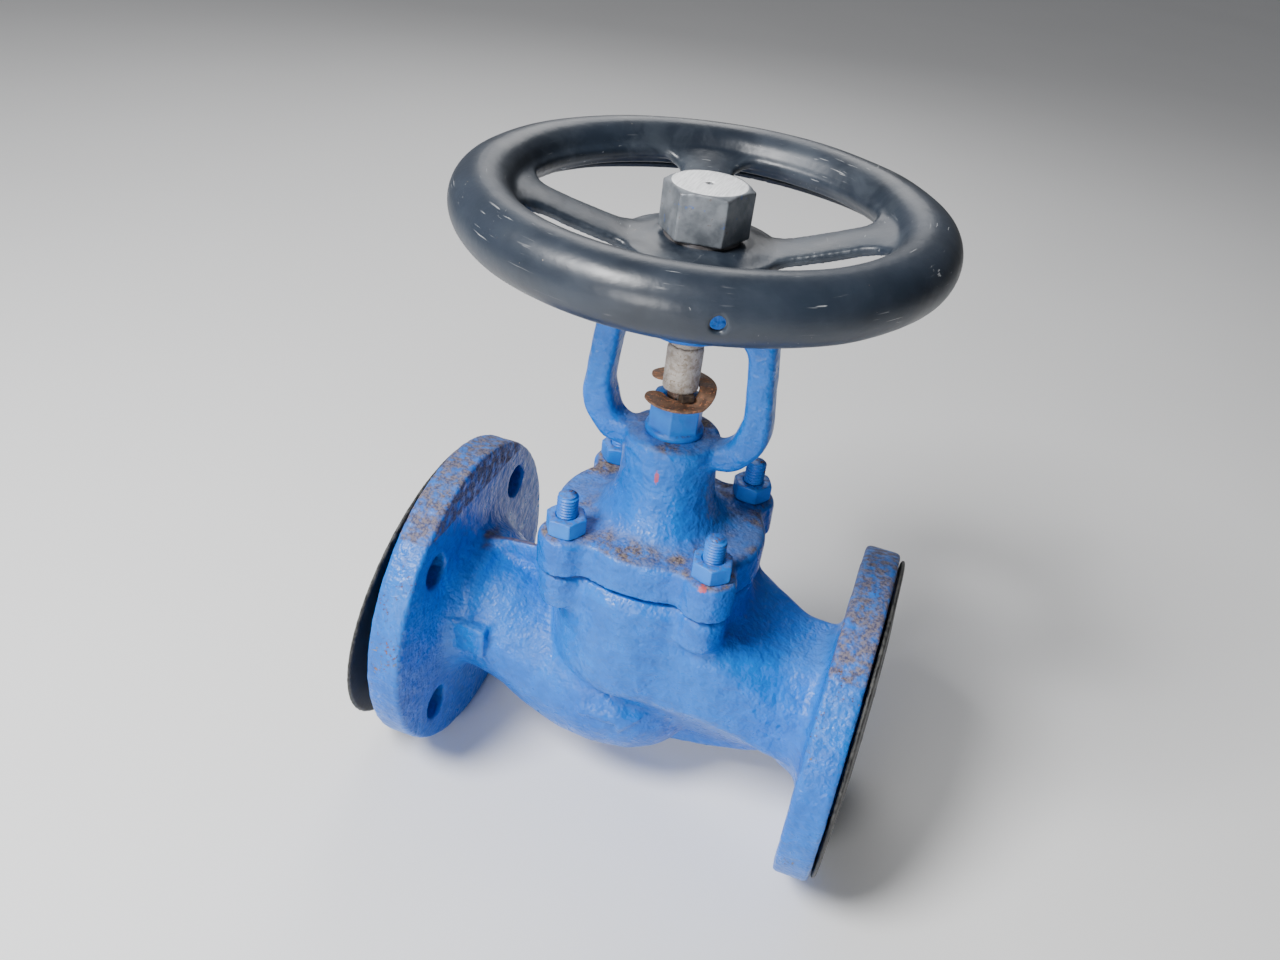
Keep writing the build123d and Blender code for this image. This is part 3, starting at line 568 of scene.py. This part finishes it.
def cover_plastic():
    """Black moulded plastic, rubbed grey near its edge."""
    t = Tree("cover_plastic")
    cloud = t.step(t.noise(20 * MM, 5.0, 0.6), 0.35, 0.7)
    colour = t.blend(cloud, (0.007, 0.0075, 0.008, 1), (0.017, 0.018, 0.019, 1))
    outer = t.step(from_pipe(t), 70 * MM, 80 * MM)
    rubbed = both(t, outer, t.step(t.noise(3 * MM, 5.0, 0.7), 0.40, 0.66))
    colour = t.blend(t.calc("MULTIPLY", rubbed, 0.55), colour, (0.120, 0.118, 0.112, 1))
    scuffs = t.noise(1.2 * MM, 3.0, 0.5, 0.2, t.moved(rotation=(0.4, 0, 0), scale=(1, 0.07, 1)))
    scratch = both(t, t.step(scuffs, 0.66, 0.7), t.step(t.noise(30 * MM, 3.0), 0.5, 0.66))
    colour = t.blend(t.calc("MULTIPLY", scratch, 0.5), colour, (0.110, 0.110, 0.110, 1))
    relief = t.bump(t.noise(0.8 * MM, 3.0, 0.6), 0.02 * MM)
    return t.surface(Base_Color=colour, Roughness=t.number(either(t, rubbed, scratch), 0.42, 0.72),
                     Normal=relief, Specular_IOR_Level=0.4)


BODY_PAINT = body_paint()
BONNET_PAINT = bonnet_paint()
STUD_PAINT = stud_paint()
WHEEL_PAINT = wheel_paint()
CAP_STEEL = cap_steel()
COVER_PLASTIC = cover_plastic()
SLEEVE_STEEL = mottled("dusty_steel", (0.270, 0.225, 0.185, 1), (0.480, 0.440, 0.400, 1), 3.0, 0.2,
                       (0.45, 0.7), 0.05, (0.25, 0.19, 0.14, 1), 0.15)
CLIP_RUST = mottled("rusty_steel", (0.110, 0.058, 0.034, 1), (0.300, 0.165, 0.095, 1), 3.5, 0.2,
                    (0.5, 0.85), 0.10, (0.52, 0.20, 0.09, 1))
KEY_STEEL = mottled("dark_steel", (0.040, 0.026, 0.018, 1), (0.110, 0.075, 0.050, 1), 2.5, 0.3)
STAINLESS = turned_metal("stainless", (0.40, 0.40, 0.40, 1), (0.62, 0.62, 0.61, 1))
BRONZE = turned_metal("bronze", (0.36, 0.22, 0.08, 1), (0.58, 0.39, 0.17, 1))
GRAPHITE = mottled("graphite", (0.020, 0.020, 0.022, 1), (0.060, 0.060, 0.064, 1), 1.5, 0.1,
                   (0.5, 0.7), 0.04)
SLOT_MATERIALS = {
    "blue_paint": BONNET_PAINT, "stud_paint": STUD_PAINT, "wheel_paint": WHEEL_PAINT,
    "zinc_steel": CAP_STEEL, "stainless": STAINLESS, "dusty_steel": SLEEVE_STEEL,
    "dark_steel": KEY_STEEL, "rusty_steel": CLIP_RUST, "bronze": BRONZE, "graphite": GRAPHITE,
    "cover_plastic": COVER_PLASTIC,
}


# ---------------------------------------------------------------- body, bonnet and handwheel

def make_body():
    """The cast body: its edges melt into one another, while the flanges stay crisp."""
    piece = softened("body", "valve_body", 1.25 * MM, 4)
    places = coordinates(piece.data)
    x, from_axis = places[:, 0], np.hypot(places[:, 1], places[:, 2])
    in_flange = (x < INLET_FACE + FLANGE_REACH) | (x > OUTLET_FACE - FLANGE_REACH)
    crisp = in_flange & (from_axis > 48 * MM)
    ports = from_axis < 27 * MM
    across, height = x - STEM_X, places[:, 2]
    near = places[:, 1] < -30 * MM
    arrow = near & (abs(across + 2 * MM) < 18 * MM) & (abs(height + 16.5 * MM) < 9 * MM)
    pad = near & (abs(across + 83 * MM) < 14 * MM) & (abs(height - 2 * MM) < 12 * MM)
    soft = np.where(crisp | ports | pad, 0.1, np.where(arrow, 0.06, 1.0))
    relax(piece, 18, soft, keep_size=False)
    under_flange = (height > 36 * MM) & (height < 56 * MM) & (abs(across) < 60 * MM)
    relax(piece, 26, np.where(under_flange, 1.0, 0.0), keep_size=False)
    lump(piece, 14 * MM, 0.45 * MM, np.where(crisp, 0.35, 1.0), 3.0)
    lump(piece, 5 * MM, 0.16 * MM, np.where(ports, 0.0, 1.0), 8.0)
    thin_out(piece, CASTING_TRIANGLES)
    keep_inside(piece, "body")
    return finish_piece(piece, "valve", BODY_PAINT, "blue_paint", "body")


def make_bonnet():
    """The cast bonnet with its yoke."""
    piece = softened("bonnet", "valve_bonnet", 1.0 * MM, 14)
    height = coordinates(piece.data)[:, 2]
    soft = np.where((height > BONNET_FLANGE_TOP - 18 * MM) & (height < 200 * MM), 0.7, 0.05)
    relax(piece, 8, soft, keep_size=False)
    lump(piece, 10 * MM, 0.35 * MM, soft, 5.0)
    lump(piece, 4 * MM, 0.12 * MM, soft, 1.0)
    thin_out(piece, CASTING_TRIANGLES)
    keep_inside(piece, "bonnet")
    return finish_piece(piece, "valve", BONNET_PAINT, "blue_paint", "bonnet")


def crown_spokes(piece):
    """Bends the long edges of each spoke down, so that the spoke is crowned."""
    places = coordinates(piece.data)
    across, along = places[:, 0] - STEM_X, places[:, 1]
    turn = math.radians(SPOKE_ANGLE)
    u = across * math.cos(turn) + along * math.sin(turn)
    v = along * math.cos(turn) - across * math.sin(turn)
    radius = np.hypot(u, v)
    sideways = np.minimum(abs(u), abs(v)) / SPOKE_HALF_WIDTH
    past_hub = np.clip((radius - 24 * MM) / (12 * MM), 0, 1)
    before_rim = np.clip((78 * MM - radius) / (12 * MM), 0, 1)
    places[:, 2] -= SPOKE_CROWN * past_hub * before_rim * np.minimum(sideways, 1.2) ** 2
    set_coordinates(piece.data, places)


def make_handwheel():
    """The pressed wheel, its folds rounded as sheet metal bends."""
    piece = softened("handwheel", "wheel", 0.8 * MM, 20)
    crown_spokes(piece)
    relax(piece, 8, keep_size=False)
    lump(piece, 30 * MM, 0.35 * MM, None, 2.0)
    thin_out(piece, CASTING_TRIANGLES)
    keep_inside(piece, "handwheel")
    return finish_piece(piece, "handwheel", WHEEL_PAINT, "wheel_paint", "handwheel")


# ---------------------------------------------------------------- small parts

def stud_centres():
    """The axes of the four studs, found from the corners of the CAD node's box."""
    low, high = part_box("bonnet_studs")
    left, right = low.x + STUD_CREST, high.x - STUD_CREST
    near, far = low.y + STUD_CREST, high.y - STUD_CREST
    return [(x, y) for x in (left, right) for y in (near, far)]


def threaded_stud(centre, low, bare, top, turns_start):
    """A stud with a rolled helical thread above the height bare, and a chamfer at the top."""
    around, rows_per_pitch = 40, 10
    chamfer_height, chamfer_slope = 1.2 * MM, 0.72
    rows = int((top - bare) / THREAD_PITCH * rows_per_pitch) + 1
    heights = [low] + [bare + (top - bare) * row / (rows - 1) for row in range(rows)]
    vertices, faces = [], []
    for z in heights:
        for k in range(around):
            angle = 2 * math.pi * k / around
            turn = (z / THREAD_PITCH - angle / (2 * math.pi) + turns_start) % 1.0
            groove = 0.5 - 0.5 * math.cos(2 * math.pi * turn)
            start = min(1.0, max(0.0, (z - bare) / THREAD_PITCH))
            chamfer = max(0.0, z - (top - chamfer_height)) * chamfer_slope
            radius = STUD_CREST - THREAD_DEPTH * (groove ** 0.7) * start - chamfer
            x = centre[0] + radius * math.cos(angle)
            y = centre[1] + radius * math.sin(angle)
            vertices.append((x, y, z))
    for row in range(len(heights) - 1):
        for k in range(around):
            a, b = row * around + k, row * around + (k + 1) % around
            faces.append((a, b, b + around, a + around))
    faces.append(tuple(reversed(range(around))))
    middle = len(vertices)
    vertices.append((centre[0], centre[1], top))
    last = (len(heights) - 1) * around
    faces += [(last + k, last + (k + 1) % around, middle) for k in range(around)]
    return vertices, faces


def make_studs():
    """The four studs as one piece, each thread started at its own angle."""
    low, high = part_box("bonnet_studs")
    nut_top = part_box("bonnet_nuts")[1].z
    vertices, faces = [], []
    for number, centre in enumerate(stud_centres()):
        v, f = threaded_stud(centre, low.z, nut_top - 2 * MM, high.z, number * 0.31)
        faces += [tuple(i + len(vertices) for i in face) for face in f]
        vertices += v
    piece = new_piece("stud_threads", vertices, faces)
    return finish_piece(piece, "valve", STUD_PAINT, "stud_paint", "bonnet_studs")


# The small parts that show: node, slot, size of the remeshed squares in mm, rounds of smoothing.
SOFTENED = [
    ("bonnet_nuts", "stud_paint", 0.45, 6),
    ("gland_nut", "stud_paint", 0.45, 6),
    ("handwheel_nut", "zinc_steel", 0.55, 8),
    ("stem_sleeve", "dusty_steel", 0.45, 6),
    ("stem_clip", "rusty_steel", 0.30, 6),
    ("stem_key", "dark_steel", 0.30, 6),
]


def make_cover(node, body):
    """A moulded flange cover with a shallow recess, a ring and ribs on its outer face."""
    piece = softened(node, node + "_look", 0.8 * MM, 4)
    places, out = coordinates(piece.data), normals(piece.data)
    outward = out[:, 0] * (1 if node.startswith("outlet") else -1) > 0.9
    radius = np.hypot(places[:, 1], places[:, 2])
    angle = np.arctan2(places[:, 2], places[:, 1])
    ribs = 12
    off_rib = abs((angle * ribs / (2 * math.pi) + 0.5) % 1.0 - 0.5) * 2 * math.pi / ribs * radius

    def beyond(distance, start):
        return np.clip((distance - start) / (0.8 * MM), 0, 1)

    band = beyond(radius, 30 * MM) * beyond(72 * MM - radius, 0) * beyond(off_rib, 1.2 * MM)
    band = band * beyond(abs(radius - 51 * MM), 1.5 * MM)
    places -= out * (band * outward * 0.6 * MM)[:, None]
    set_coordinates(piece.data, places)
    relax(piece, 2)
    thin_out(piece, COVER_TRIANGLES)
    keep_inside(piece, node)
    return finish_piece(piece, body, COVER_PLASTIC, "cover_plastic", node)


def make_bellows():
    """The bellows, welded at its top end, as a still copy on a mesh of its own."""
    piece = copy_of("bellows", "bellows_look")
    finish_piece(piece, "valve", STAINLESS, "stainless", "bellows")
    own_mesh(piece)


def node_bodies():
    """The CAD body of each node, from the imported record."""
    bodies = frame["record"]["behaviour"]["bodies"]
    return {node: body for body, nodes in bodies.items() for node in nodes}


def make_small_parts():
    """The nuts, the parts round the stem and the two covers, on the bodies of their CAD nodes."""
    bodies = node_bodies()
    for node, slot, voxel, rounds in SOFTENED:
        piece = softened(node, node + "_look", voxel * MM, rounds)
        keep_inside(piece, node)
        finish_piece(piece, bodies[node], SLOT_MATERIALS[slot], slot, node)
    for node in ("inlet_flange_cover", "outlet_flange_cover"):
        make_cover(node, bodies[node])


# ---------------------------------------------------------------- materials of the CAD nodes

def dress_cad_nodes():
    """Gives every CAD node the material of its slot."""
    for part in frame["record"]["subparts"]:
        node, slot = NODES[part["node"]], part["material_slot"]
        node.data.materials.clear()
        node.data.materials.append(SLOT_MATERIALS[slot])


# ---------------------------------------------------------------- camera, lights and floor

def set_camera():
    """The camera, from its direction and tilt about the valve."""
    azimuth, elevation = math.radians(CAMERA_AZIMUTH), math.radians(CAMERA_ELEVATION)
    roll = math.radians(CAMERA_ROLL)
    back = Vector((
        math.sin(azimuth) * math.cos(elevation), -math.cos(azimuth) * math.cos(elevation),
        math.sin(elevation),
    ))
    level = (-back).cross(Vector((0, 0, 1))).normalized()
    upright = level.cross(-back)
    right = level * math.cos(roll) + upright * math.sin(roll)
    up = upright * math.cos(roll) - level * math.sin(roll)
    turn = Matrix((right, up, back)).transposed().to_4x4()
    data = bpy.data.cameras.new("camera")
    data.sensor_width = SENSOR_WIDTH
    data.lens = CAMERA_LENS
    data.clip_start = 0.01
    camera = bpy.data.objects.new("camera", data)
    camera.matrix_world = Matrix.Translation(CAMERA_PLACE) @ turn
    bpy.context.scene.collection.objects.link(camera)
    bpy.context.scene.camera = camera


def area_light(name, place, size, power):
    """A round light that points at the valve."""
    data = bpy.data.lights.new(name, "AREA")
    data.shape = "DISK"
    data.size = size
    data.energy = power
    light = bpy.data.objects.new(name, data)
    light.location = place
    aim = Vector(LIGHTS_AIM) - Vector(place)
    light.rotation_euler = aim.to_track_quat("-Z", "Y").to_euler()
    bpy.context.scene.collection.objects.link(light)


def set_lights():
    """A pale room that is dimmer on the right, a soft light above on the left, and two weak fills."""
    world = bpy.data.worlds.new("studio")
    world.use_nodes = True
    background = world.node_tree.nodes["Background"]
    background.inputs["Strength"].default_value = WORLD_STRENGTH
    tree = world.node_tree
    direction = tree.nodes.new("ShaderNodeTexCoord").outputs["Generated"]
    parts = tree.nodes.new("ShaderNodeSeparateXYZ")
    side = tree.nodes.new("ShaderNodeMapRange")
    side.inputs["From Min"].default_value = -0.3
    side.inputs["From Max"].default_value = 0.7
    shade = tree.nodes.new("ShaderNodeMix")
    shade.data_type = "RGBA"
    shade.inputs[6].default_value = ROOM_LEFT
    shade.inputs[7].default_value = ROOM_RIGHT
    tree.links.new(direction, parts.inputs[0])
    tree.links.new(parts.outputs[0], side.inputs["Value"])
    tree.links.new(side.outputs[0], shade.inputs[0])
    tree.links.new(shade.outputs[2], background.inputs["Color"])
    bpy.context.scene.world = world
    for light in LIGHTS:
        area_light(*light)


def make_floor():
    """A plain pale floor under the flanges and covers."""
    height = cad_box[0][2]
    signs = [(-1, -1), (1, -1), (1, 1), (-1, 1)]
    corners = [(x * FLOOR_HALF, y * FLOOR_HALF, height) for x, y in signs]
    floor = new_piece("floor", corners, [(0, 1, 2, 3)])
    t = Tree("floor")
    tone = t.step(t.noise(0.4, 2.0), 0.3, 0.7)
    colour = t.blend(tone, (0.88, 0.88, 0.88, 1), (0.90, 0.90, 0.90, 1))
    floor.data.materials.append(t.surface(Base_Color=colour, Roughness=0.8))


set_camera()
set_lights()
make_floor()
dress_cad_nodes()
make_body()
make_bonnet()
make_handwheel()
make_studs()
make_small_parts()
make_bellows()
